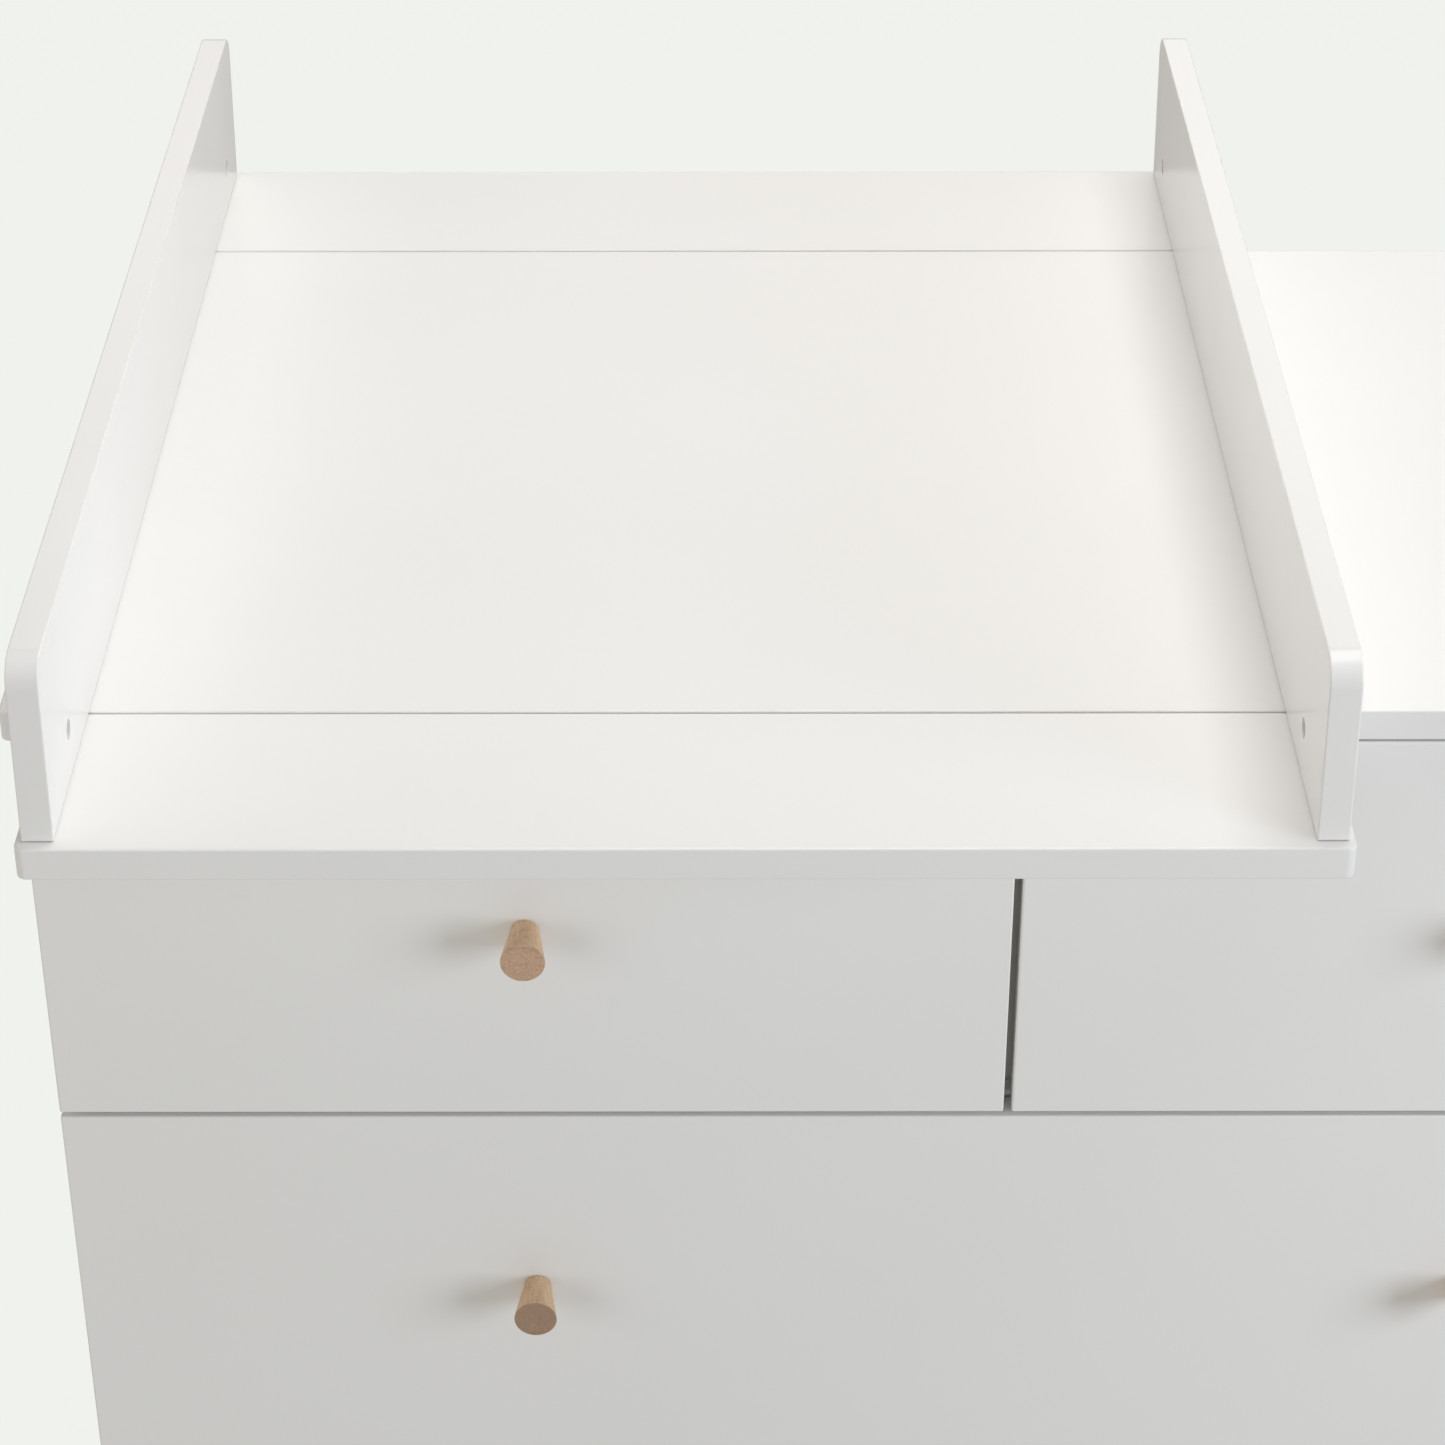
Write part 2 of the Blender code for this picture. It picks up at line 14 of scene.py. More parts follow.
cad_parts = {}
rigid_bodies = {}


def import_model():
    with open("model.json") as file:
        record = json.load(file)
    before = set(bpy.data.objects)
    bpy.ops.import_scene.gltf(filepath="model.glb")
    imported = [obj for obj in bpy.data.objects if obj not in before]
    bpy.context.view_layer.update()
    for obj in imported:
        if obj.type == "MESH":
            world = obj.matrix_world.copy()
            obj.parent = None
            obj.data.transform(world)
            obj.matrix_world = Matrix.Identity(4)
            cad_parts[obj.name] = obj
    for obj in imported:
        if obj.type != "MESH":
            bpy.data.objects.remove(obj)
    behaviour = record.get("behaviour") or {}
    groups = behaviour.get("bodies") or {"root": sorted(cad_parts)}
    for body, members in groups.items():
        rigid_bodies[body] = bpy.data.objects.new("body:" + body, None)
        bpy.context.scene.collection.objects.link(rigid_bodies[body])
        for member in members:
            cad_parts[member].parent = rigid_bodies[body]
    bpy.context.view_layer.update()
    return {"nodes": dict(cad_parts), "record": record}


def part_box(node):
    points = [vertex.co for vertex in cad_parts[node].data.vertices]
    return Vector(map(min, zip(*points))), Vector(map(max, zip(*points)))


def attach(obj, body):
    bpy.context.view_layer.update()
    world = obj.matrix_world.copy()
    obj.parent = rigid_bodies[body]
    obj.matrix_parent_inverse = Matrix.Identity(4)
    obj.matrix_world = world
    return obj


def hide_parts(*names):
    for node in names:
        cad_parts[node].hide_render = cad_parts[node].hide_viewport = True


bl_info = {
    "name": "Changing Table",
    "version": (1, 0, 0),
    "blender": (4, 5, 0),
    "location": "3D View > Sidebar > Changing Table",
    "description": "Finishes a changing table and sets up its studio",
    "category": "Object",
}

for leftover in list(bpy.data.objects):
    bpy.data.objects.remove(leftover, do_unlink=True)
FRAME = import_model()
NODES = FRAME["nodes"]
SLOT_OF = {part["node"]: part["material_slot"] for part in FRAME["record"]["subparts"]}

DRAWERS = ("upper_left", "upper_right", "middle", "lower")
KNOBS = {
    "upper_left": ("upper_left_knob",),
    "upper_right": ("upper_right_knob",),
    "middle": ("middle_knob_left", "middle_knob_right"),
    "lower": ("lower_knob_left", "lower_knob_right"),
}
LEGS = ("front_left", "front_right", "rear_left", "rear_right")
INWARD = {"left": 1, "right": -1}       # from a drawer's side wall towards its middle
FIT = 0.0003                            # gap between pieces that touch
FULL_TURN = 2 * math.pi
DOWEL_STEP = 0.11                       # from one turned piece to the next along their dowel
PITH_DISTANCE = 0.040                   # from a turned piece's axis to the middle of its tree


# ---------------------------------------------------------------- what a user may change


def colour_property(name, description, default):
    """A linear colour that shows as a swatch."""
    return FloatVectorProperty(
        name=name, description=description, default=default,
        subtype="COLOR", size=3, min=0, max=1,
    )


def length_property(name, description, default):
    """A length in metres."""
    return FloatProperty(
        name=name, description=description, default=default,
        subtype="DISTANCE", unit="LENGTH", min=0, precision=4,
    )


def share_property(name, description, default):
    """A share from 0 to 1."""
    return FloatProperty(
        name=name, description=description, default=default, subtype="FACTOR", min=0, max=1
    )


class LacquerSettings(bpy.types.PropertyGroup):
    """The white finishes of the boards."""

    white: colour_property(
        "Lacquer", "Colour of the sprayed lacquer", (0.90, 0.89, 0.87)
    )
    toned: colour_property(
        "Toned lacquer", "Colour where the lacquer lies a little thinner", (0.892, 0.881, 0.859)
    )
    edge: colour_property(
        "Eased edges", "Colour of the lacquer on the rounded edges", (0.875, 0.860, 0.835)
    )
    roughness: share_property("Roughness", "Roughness of the satin lacquer", 0.22)
    peel: length_property("Orange peel", "Height of the spray's fine ripple", 0.000003)
    foil: colour_property(
        "Foil", "Colour of the drawer boxes' foil", (0.80, 0.79, 0.765)
    )
    hardboard: colour_property(
        "Hardboard", "Colour of the painted back and drawer bottoms", (0.79, 0.78, 0.75)
    )


class BeechSettings(bpy.types.PropertyGroup):
    """The oiled beech of the knobs and legs."""

    pale: colour_property("Pale wood", "Colour of the turned sides", (0.780, 0.545, 0.345))
    streak: colour_property("Streaks", "Colour of the darker streaks", (0.665, 0.440, 0.262))
    fleck: colour_property("Flecks", "Colour of the rays and the growth rings", (0.270, 0.150, 0.080))
    end_grain: colour_property("End grain", "Colour of a cut end", (0.640, 0.425, 0.285))
    dark_end: colour_property("Dark end grain", "Colour of the darkest cut end", (0.400, 0.268, 0.178))
    ring_spacing: length_property("Ring spacing", "Width of one year's growth", 0.0105)
    roughness: share_property("Roughness", "Roughness of the oiled wood", 0.50)


class FittingSettings(bpy.types.PropertyGroup):
    """Sizes of the small fittings."""

    knob_rim: length_property("Knob rim", "Radius of a knob's rims", 0.0004)
    wheel_radius: length_property("Wheel radius", "Radius of the runners' wheels", 0.0090)
    sheet: length_property("Sheet", "Thickness of the sliding rails' steel", 0.0012)
    bumper_radius: length_property("Bumper radius", "Radius of the soft bumpers", 0.0030)
    glide_height: length_property("Felt glide", "Height of the felt under a leg", 0.0030)
    plate_width: length_property("Leg plate", "Width of the plate above a leg", 0.0640)
    turned_segments: IntProperty(
        name="Segments", description="Segments round a turned piece", default=72, min=12
    )


class StudioSettings(bpy.types.PropertyGroup):
    """Camera, floor and lights."""

    lens: FloatProperty(
        name="Lens", description="Focal length on a 36 mm sensor",
        default=91.62, min=1, unit="CAMERA",
    )
    stand: FloatVectorProperty(
        name="Camera", description="Place of the camera",
        default=(-0.1563, -1.8826, 1.8790), subtype="TRANSLATION", unit="LENGTH",
    )
    tilt: FloatProperty(
        name="Tilt", description="Camera's angle below the horizon",
        default=math.radians(32.104), subtype="ANGLE", unit="ROTATION",
    )
    turn: FloatProperty(
        name="Turn", description="Camera's turn to its left",
        default=math.radians(0.020), subtype="ANGLE", unit="ROTATION",
    )
    roll: FloatProperty(
        name="Roll", description="Camera's roll about its own axis",
        default=math.radians(-0.065), subtype="ANGLE", unit="ROTATION",
    )
    backdrop: colour_property(
        "Backdrop", "Colour of the backdrop and floor", (0.855, 0.871, 0.831)
    )
    ambient: FloatProperty(
        name="Ambient", description="Strength of the even light", default=0.2725, min=0
    )
    floor_light: FloatProperty(
        name="Floor light", description="Light that the floor sends up at the table",
        default=0.455, min=0,
    )
    overhead: FloatProperty(
        name="Overhead", description="Softbox above the table", default=34.2, min=0, unit="POWER"
    )
    key: FloatProperty(
        name="Key", description="Softbox low at the right", default=50.5, min=0, unit="POWER"
    )
    fill: FloatProperty(
        name="Fill", description="Softbox at the left", default=15.4, min=0, unit="POWER"
    )
    left: FloatProperty(
        name="Left", description="Softbox at the left end", default=4.2, min=0, unit="POWER"
    )
    rear: FloatProperty(
        name="Rear", description="Softbox behind the table", default=9.9, min=0, unit="POWER"
    )


GROUPS = {
    "table_lacquer": LacquerSettings,
    "table_beech": BeechSettings,
    "table_fittings": FittingSettings,
    "table_studio": StudioSettings,
}


# ---------------------------------------------------------------- material nodes


class Finish:
    """A material under construction, with short calls for its nodes."""

    def __init__(self, name):
        self.material = bpy.data.materials.new(name)
        self.material.use_nodes = True
        self.tree = self.material.node_tree
        self.shader = self.tree.nodes["Principled BSDF"]
        self.place = self.add("ShaderNodeTexCoord").outputs["Object"]

    def add(self, kind, inputs=None, **settings):
        """A node with its settings, and with values or links on its inputs."""
        node = self.tree.nodes.new(kind)
        for key, value in settings.items():
            setattr(node, key, value)
        for socket, value in (inputs or {}).items():
            self.put(node.inputs[socket], value)
        return node

    def put(self, socket, value):
        """A link where the value is another node's output, and otherwise a plain value."""
        if isinstance(value, bpy.types.NodeSocket):
            self.tree.links.new(value, socket)
        elif hasattr(socket.default_value, "__len__") and len(socket.default_value) == 4:
            socket.default_value = (*value, 1.0)
        else:
            socket.default_value = value

    def set(self, **values):
        """Values for the main shader, such as base_color or specular_ior_level."""
        names = {socket.name.lower().replace(" ", "_"): socket for socket in self.shader.inputs}
        for key, value in values.items():
            self.put(names[key], value)

    def scaled(self, scale, place=None):
        """Coordinates stretched by a scale for each axis."""
        return self.add(
            "ShaderNodeMapping", {"Vector": place or self.place, "Scale": scale}
        ).outputs["Vector"]

    def noise(self, size, place=None, detail=3.0, roughness=0.5, distortion=0.0):
        """Noise whose patches are about size metres across."""
        return self.add(
            "ShaderNodeTexNoise",
            {
                "Vector": place or self.place,
                "Scale": 1 / size,
                "Detail": detail,
                "Roughness": roughness,
                "Distortion": distortion,
            },
        ).outputs["Fac"]

    def remap(self, value, low, high, to_low=0.0, to_high=1.0):
        """value taken from the span low to high to another span, without overshoot."""
        return self.add(
            "ShaderNodeMapRange",
            {"Value": value, "From Min": low, "From Max": high,
             "To Min": to_low, "To Max": to_high},
        ).outputs["Result"]

    def maths(self, operation, first, second=0.0):
        """One step of arithmetic."""
        return self.add(
            "ShaderNodeMath", {0: first, 1: second}, operation=operation
        ).outputs["Value"]

    def mixed(self, share, first, second):
        """A colour between two colours."""
        node = self.add("ShaderNodeMix", data_type="RGBA")
        self.put(node.inputs[0], share)
        self.put(node.inputs[6], first)
        self.put(node.inputs[7], second)
        return node.outputs[2]

    def bump(self, height, distance, normal=None):
        """A normal from a height map of 0 to 1 that stands for distance in metres."""
        inputs = {"Strength": 1.0, "Distance": distance, "Height": height}
        if normal is not None:
            inputs["Normal"] = normal
        return self.add("ShaderNodeBump", inputs).outputs["Normal"]

    def eased_edge(self):
        """1 on the rounded edges of a board, and 0 on its flat faces."""
        normal = self.add("ShaderNodeNewGeometry").outputs["Normal"]
        parts = self.add("ShaderNodeSeparateXYZ", {"Vector": normal}).outputs
        sizes = [self.maths("ABSOLUTE", parts[axis]) for axis in "XYZ"]
        largest = self.maths("MAXIMUM", self.maths("MAXIMUM", sizes[0], sizes[1]), sizes[2])
        return self.remap(largest, 0.995, 0.86)


def lacquer_finish(settings):
    """Sprayed satin lacquer: even, with a fine ripple, and thinner over the eased edges."""
    finish = Finish("satin_lacquer")
    clouds = finish.remap(finish.noise(0.16, detail=2.0), 0.35, 0.65)
    worn = finish.maths(
        "MULTIPLY", finish.eased_edge(), finish.remap(finish.noise(0.035), 0.40, 0.72, 0.12, 0.85)
    )
    body = finish.mixed(clouds, settings.white, settings.toned)
    body = finish.mixed(worn, body, settings.edge)
    handled = finish.remap(
        finish.noise(0.15, detail=1.0), 0.3, 0.7, settings.roughness - 0.015, settings.roughness + 0.02
    )
    ripple = finish.noise(0.0016, detail=2.0, roughness=0.45)
    finish.set(
        base_color=body,
        roughness=handled,
        normal=finish.bump(ripple, settings.peel),
        specular_ior_level=0.5,
        ior=1.48,
    )
    return finish.material


def foil_finish(settings):
    """Melamine foil of the drawer boxes, with the press plate's fine texture."""
    finish = Finish("drawer_foil")
    streaks = finish.noise(0.0014, finish.scaled((1.0, 0.05, 1.0)), detail=3.0)
    tone = finish.remap(streaks, 0.35, 0.7, 0.0, 1.0)
    darker = [0.955 * channel for channel in settings.foil]
    pebble = finish.noise(0.0009, detail=2.0)
    finish.set(
        base_color=finish.mixed(tone, settings.foil, darker),
        roughness=finish.remap(pebble, 0.3, 0.7, 0.42, 0.54),
        normal=finish.bump(pebble, 0.000015),
        specular_ior_level=0.45,
    )
    return finish.material


def hardboard_finish(settings):
    """Painted hardboard: fibres that show faintly through the paint."""
    finish = Finish("painted_hardboard")
    fibres = finish.noise(0.0030, finish.scaled((1.0, 1.0, 0.35)), detail=5.0, distortion=1.2)
    clouds = finish.noise(0.11, detail=2.0)
    both = finish.maths("ADD", finish.maths("MULTIPLY", fibres, 0.6), finish.maths("MULTIPLY", clouds, 0.4))
    darker = [0.93 * channel for channel in settings.hardboard]
    finish.set(
        base_color=finish.mixed(finish.remap(both, 0.40, 0.62), settings.hardboard, darker),
        roughness=finish.remap(fibres, 0.3, 0.7, 0.50, 0.62),
        normal=finish.bump(fibres, 0.00006),
        specular_ior_level=0.4,
    )
    return finish.material


def beech_finish(settings):
    """Oiled beech turned along its own Z axis: streaked and flecked sides, mottled cut ends.

    The pieces lie one after another along the axis, a step apart, so the number of the
    step gives each its own tone.
    """
    finish = Finish("turned_beech")
    parts = finish.add("ShaderNodeSeparateXYZ", {"Vector": finish.place}).outputs
    number = finish.maths("FLOOR", finish.maths("ADD", finish.maths("DIVIDE", parts["Z"], DOWEL_STEP), 0.1))
    tone = finish.add(
        "ShaderNodeTexWhiteNoise", {"W": finish.maths("ADD", number, 4.0)}, noise_dimensions="1D"
    ).outputs["Value"]

    # Growth rings about a pith that lies outside the piece, clear only in places
    wander = finish.noise(0.011, finish.scaled((1.0, 1.0, 0.2)), detail=3.0)
    across = finish.maths("ADD", parts["X"], PITH_DISTANCE)
    square = finish.maths(
        "ADD", finish.maths("MULTIPLY", across, across), finish.maths("MULTIPLY", parts["Y"], parts["Y"])
    )
    radius = finish.maths("ADD", finish.maths("SQRT", square), finish.maths("MULTIPLY", wander, 0.005))
    year = finish.maths("FRACT", finish.maths("DIVIDE", radius, settings.ring_spacing))
    patches = finish.remap(finish.noise(0.010, detail=1.0), 0.44, 0.60, 0.10, 1.0)
    rings = finish.maths("MULTIPLY", finish.maths("POWER", year, 11.0), patches)

    # Sides: broad streaks along the grain, thin dark streaks, and short flecks
    broad = finish.noise(0.0042, finish.scaled((1.0, 1.0, 0.10)), detail=3.0)
    thin = finish.noise(0.0011, finish.scaled((1.0, 1.0, 0.06)), detail=2.0)
    short = finish.noise(0.0012, finish.scaled((1.0, 1.0, 0.50)), detail=2.0, distortion=0.8)
    side = finish.mixed(finish.remap(broad, 0.38, 0.68), settings.pale, settings.streak)
    side = finish.mixed(finish.remap(thin, 0.53, 0.68, 0.0, 0.26), side, settings.fleck)
    side = finish.mixed(finish.remap(short, 0.55, 0.68, 0.0, 0.26), side, settings.fleck)
    side = finish.mixed(finish.maths("MULTIPLY", rings, 0.25), side, settings.fleck)

    # Cut ends: fine and coarse mottling, darker in some pieces
    coarse = finish.noise(0.0045, detail=3.0, roughness=0.6)
    fine = finish.noise(0.0013, detail=3.0, roughness=0.6)
    darkened = finish.remap(finish.maths("ADD", finish.maths("MULTIPLY", tone, 0.9),
                                         finish.maths("MULTIPLY", coarse, 0.7)), 0.30, 1.20)
    ends = finish.mixed(darkened, settings.end_grain, settings.dark_end)
    ends = finish.mixed(finish.remap(fine, 0.44, 0.70, 0.0, 0.42), ends, settings.fleck)
    ends = finish.mixed(finish.maths("MULTIPLY", rings, 0.62), ends, settings.fleck)
    local = finish.add(
        "ShaderNodeVectorTransform",
        {"Vector": finish.add("ShaderNodeNewGeometry").outputs["Normal"]},
        vector_type="NORMAL", convert_from="WORLD", convert_to="OBJECT",
    ).outputs["Vector"]
    facing = finish.add("ShaderNodeSeparateXYZ", {"Vector": local}).outputs["Z"]
    cut_end = finish.remap(finish.maths("ABSOLUTE", facing), 0.72, 0.94)
    pores = finish.maths("ADD", thin, short)
    finish.set(
        base_color=finish.mixed(cut_end, side, ends),
        roughness=finish.remap(pores, 0.7, 1.4, settings.roughness - 0.06, settings.roughness + 0.08),
        normal=finish.bump(pores, 0.00003),
        specular_ior_level=0.35,
    )
    return finish.material


def steel_finish():
    """Zinc-plated steel with a faintly cloudy, brushed surface."""
    finish = Finish("zinc_plated_steel")
    brushed = finish.noise(0.0011, finish.scaled((1.0, 0.06, 1.0)), detail=3.0)
    spangle = finish.noise(0.006, detail=3.0, distortion=0.8)
    both = finish.maths(
        "ADD", finish.maths("MULTIPLY", brushed, 0.45), finish.maths("MULTIPLY", spangle, 0.55)
    )
    finish.set(
        base_color=finish.mixed(finish.remap(both, 0.35, 0.65), (0.66, 0.665, 0.66), (0.52, 0.525, 0.53)),
        roughness=finish.remap(spangle, 0.3, 0.7, 0.27, 0.42),
        normal=finish.bump(brushed, 0.000012),
        metallic=1.0,
    )
    return finish.material


def moulded_finish(name, body, shade, roughness, grain, height):
    """A moulded or pressed soft material: two close tones, with its own grain."""
    finish = Finish(name)
    grains = finish.noise(grain, detail=4.0)
    finish.set(
        base_color=finish.mixed(finish.remap(grains, 0.35, 0.65), body, shade),
        roughness=finish.remap(grains, 0.3, 0.7, roughness - 0.05, roughness + 0.06),
        normal=finish.bump(grains, height),
        specular_ior_level=0.42,
    )
    return finish.material


# ---------------------------------------------------------------- mesh building


def eased(points, radius, steps=5):
    """The outline with each inner corner turned in an arc of about that radius.

    A point on either side of the arc keeps its shading off the flats beside it.
    """
    points = [Vector(point) for point in points]
    made = [points[0]]
    for before, corner, after in zip(points, points[1:], points[2:]):
        to_before, to_after = before - corner, after - corner
        reach = min(radius, 0.45 * to_before.length, 0.45 * to_after.length)
        start = corner + to_before.normalized() * reach
        stop = corner + to_after.normalized() * reach
        made.append(corner + to_before * min(2 * reach / to_before.length, 0.49))
        for step in range(steps + 1):
            share = step / steps
            made.append(
                start * (1 - share) ** 2 + corner * 2 * share * (1 - share) + stop * share ** 2
            )
        made.append(corner + to_after * min(2 * reach / to_after.length, 0.49))
    made.append(points[-1])
    return made


def mesh_of(name, shape, sharp_angle=35):
    """A mesh from a bmesh, smooth except at its sharp edges."""
    bmesh.ops.remove_doubles(shape, verts=shape.verts, dist=1e-7)
    bmesh.ops.recalc_face_normals(shape, faces=shape.faces)
    mesh = bpy.data.meshes.new(name)
    shape.to_mesh(mesh)
    shape.free()
    mesh.shade_smooth()
    mesh.set_sharp_from_angle(angle=math.radians(sharp_angle))
    return mesh


def turned_shape(profile, segments):
    """A solid turned about Z. The profile holds (radius, height), from axis to axis."""
    shape = bmesh.new()
    rings = []
    for radius, height in profile:
        if radius < 1e-6:
            rings.append([shape.verts.new((0, 0, height))])
            continue
        rings.append([
            shape.verts.new((
                radius * math.cos(FULL_TURN * i / segments),
                radius * math.sin(FULL_TURN * i / segments),
                height,
            ))
            for i in range(segments)
        ])
    for low, high in zip(rings, rings[1:]):
        for i in range(segments):
            after = (i + 1) % segments
            corners = [low[i % len(low)], low[after % len(low)],
                       high[after % len(high)], high[i % len(high)]]
            shape.faces.new(list(dict.fromkeys(corners)))
    return shape


def turned_mesh(name, profile, segments):
    """The mesh of a turned solid."""
    return mesh_of(name, turned_shape(profile, segments))


def piece(name, mesh, finish, body, matrix=None):
    """A finished object in its place, riding on its body."""
    made = bpy.data.objects.new(name, mesh)
    if not mesh.materials:
        mesh.materials.append(finish)
    bpy.context.scene.collection.objects.link(made)
    made.matrix_world = matrix or Matrix.Identity(4)
    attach(made, body)
    return made


def gathered(name, source, matrices):
    """One mesh that holds a copy of the source mesh at each place."""
    shape = bmesh.new()
    for matrix in matrices:
        before = len(shape.verts)
        shape.from_mesh(source)
        shape.verts.ensure_lookup_table()
        bmesh.ops.transform(shape, matrix=matrix, verts=shape.verts[before:])
    mesh = bpy.data.meshes.new(name)
    shape.to_mesh(mesh)
    shape.free()
    mesh.shade_smooth()
    mesh.set_sharp_from_angle(angle=math.radians(35))
    return mesh


def piece_group(name, source, places, finish, body):
    """One finished object made of a copy of the source mesh at each place."""
    return piece(name, gathered(name, source, places), finish, body)


def pointing(direction, place):
    """The matrix that takes +Z to a direction and the origin to a place."""
    turn = Vector((0, 0, 1)).rotation_difference(Vector(direction))
    return Matrix.Translation(place) @ turn.to_matrix().to_4x4()


def cross_recessed(name, profile, width, reach, depth, segments=40):
    """A turned head with a cross-shaped recess cut into its upper end."""
    top = max(height for _, height in profile)
    head = bpy.data.objects.new(name, turned_mesh(name, profile, segments))
    cross = bmesh.new()
    for bar in ((2 * reach, width), (width, 2 * reach)):
        matrix = Matrix.Translation((0, 0, top)) @ Matrix.Diagonal((*bar, 2 * depth, 1))
        bmesh.ops.create_cube(cross, size=1, matrix=matrix)
    cutter_mesh = bpy.data.meshes.new(name + "_cutter")
    cross.to_mesh(cutter_mesh)
    cross.free()
    cutter = bpy.data.objects.new(name + "_cutter", cutter_mesh)
    for thing in (head, cutter):
        bpy.context.scene.collection.objects.link(thing)
    cut = head.modifiers.new("recess", "BOOLEAN")
    cut.operation = "DIFFERENCE"
    cut.solver = "EXACT"
    cut.use_self = True
    cut.object = cutter
    graph = bpy.context.evaluated_depsgraph_get()
    mesh = bpy.data.meshes.new_from_object(head.evaluated_get(graph))
    for thing in (head, cutter):
        bpy.data.objects.remove(thing, do_unlink=True)
    mesh.name = name
    return mesh


def pan_head_mesh(radius, height):
    """A pan head with a cross recess, standing on z = 0."""
    profile = [(0, 0), *eased(
        [(radius * 0.9, 0), (radius, 0.12 * height), (radius * 0.86, 0.8 * height), (radius * 0.5, height)],
        0.3 * height,
    ), (0, height)]
    return cross_recessed("pan_head", profile, 0.24 * radius, 0.62 * radius, 0.55 * height)


# ---------------------------------------------------------------- finished CAD nodes


def smoothing_nodes():
    """A node group that welds a mesh and shades it smooth except at its sharp edges."""
    group = bpy.data.node_groups.new("weld_and_smooth", "GeometryNodeTree")
    group.interface.new_socket("Geometry", in_out="INPUT", socket_type="NodeSocketGeometry")
    group.interface.new_socket("Geometry", in_out="OUTPUT", socket_type="NodeSocketGeometry")
    nodes, links = group.nodes, group.links
    start = nodes.new("NodeGroupInput")
    end = nodes.new("NodeGroupOutput")
    weld = nodes.new("GeometryNodeMergeByDistance")
    weld.inputs["Distance"].default_value = 1e-6
    smooth = nodes.new("GeometryNodeSetShadeSmooth")
    smooth.domain = "FACE"
    smooth.inputs["Shade Smooth"].default_value = True
    angle = nodes.new("GeometryNodeInputMeshEdgeAngle")
    sharp = nodes.new("FunctionNodeCompare")
    sharp.operation = "LESS_THAN"
    sharp.inputs[1].default_value = math.radians(40)
    edges = nodes.new("GeometryNodeSetShadeSmooth")
    edges.domain = "EDGE"
    links.new(start.outputs[0], weld.inputs["Geometry"])
    links.new(weld.outputs[0], smooth.inputs["Geometry"])
    links.new(smooth.outputs[0], edges.inputs["Geometry"])
    links.new(angle.outputs["Unsigned Angle"], sharp.inputs[0])
    links.new(sharp.outputs[0], edges.inputs["Shade Smooth"])
    links.new(edges.outputs[0], end.inputs[0])
    return group


def finish_nodes(slots, finish):
    """Give a finish and soft-edged shading to every node of these slots."""
    group = bpy.data.node_groups.get("weld_and_smooth") or smoothing_nodes()
    for node, made in NODES.items():
        if SLOT_OF[node] not in slots:
            continue
        made.data.materials.clear()
        made.data.materials.append(finish)
        shading = made.modifiers.new("shading", "NODES")
        shading.node_group = group
        normals = made.modifiers.new("normals", "WEIGHTED_NORMAL")
        normals.keep_sharp = True
        normals.weight = 100


# ---------------------------------------------------------------- turned pieces

KNOB_TAPER = 0.0155 / 0.024             # a knob's base diameter to its end diameter
LEG_TAPER = 0.028 / 0.044               # a leg's foot diameter to its top diameter
LEG_EASE = 0.002                        # rounded rims of a leg
FIRST_LEG = 6                           # the legs follow the six knobs along the dowel
GLIDE_INSET = 0.003                     # a felt glide's rim inside the leg's foot
GLIDE_EASE = 0.001
PLATE_THICKNESS = 0.0025
PLATE_CORNER = 0.006
PLATE_EASE = 0.0004
PLATE_SCREW_INSET = 0.0085              # a plate's screws from its edges
PLATE_SCREW_HEAD = (0.0032, 0.0016)     # radius and height, as of every screw head here
KNOB_SCREW_HEAD = (0.0042, 0.0026)


def dowel_matrix(direction, place, number):
    """A place for the piece with that number, as if all were turned from one long dowel.

    The piece's own origin moves along its axis and its turn changes, so that the grain
    that runs through its own coordinates is different in each.
    """
    step = DOWEL_STEP * number
    twist = Matrix.Rotation(math.radians(90 + 97 * number), 4, "Z")
    return pointing(direction, place) @ twist @ Matrix.Translation((0, 0, -step)), step


def add_knob(node, number, settings, finish, drawer):
    """A tapered knob with rounded rims, which stands for its CAD node."""
    low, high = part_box(node)
    length = high.y - low.y
    end = (high.x - low.x) / 2
    base = end * KNOB_TAPER
    place = Vector(((low.x + high.x) / 2, high.y, (low.z + high.z) / 2))
    matrix, step = dowel_matrix((0, -1, 0), place, number)
    rim = settings.knob_rim
    side = [(base, 0), (end, length)]
    profile = [(0, 0), *eased([(base * 0.5, 0), *side, (end * 0.5, length)], rim), (0, length)]
    profile = [(radius, height + step) for radius, height in profile]
    mesh = turned_mesh(node + "_turned", profile, settings.turned_segments)
    knob = piece(node + "_turned", mesh, finish, drawer, matrix)
    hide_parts(node)


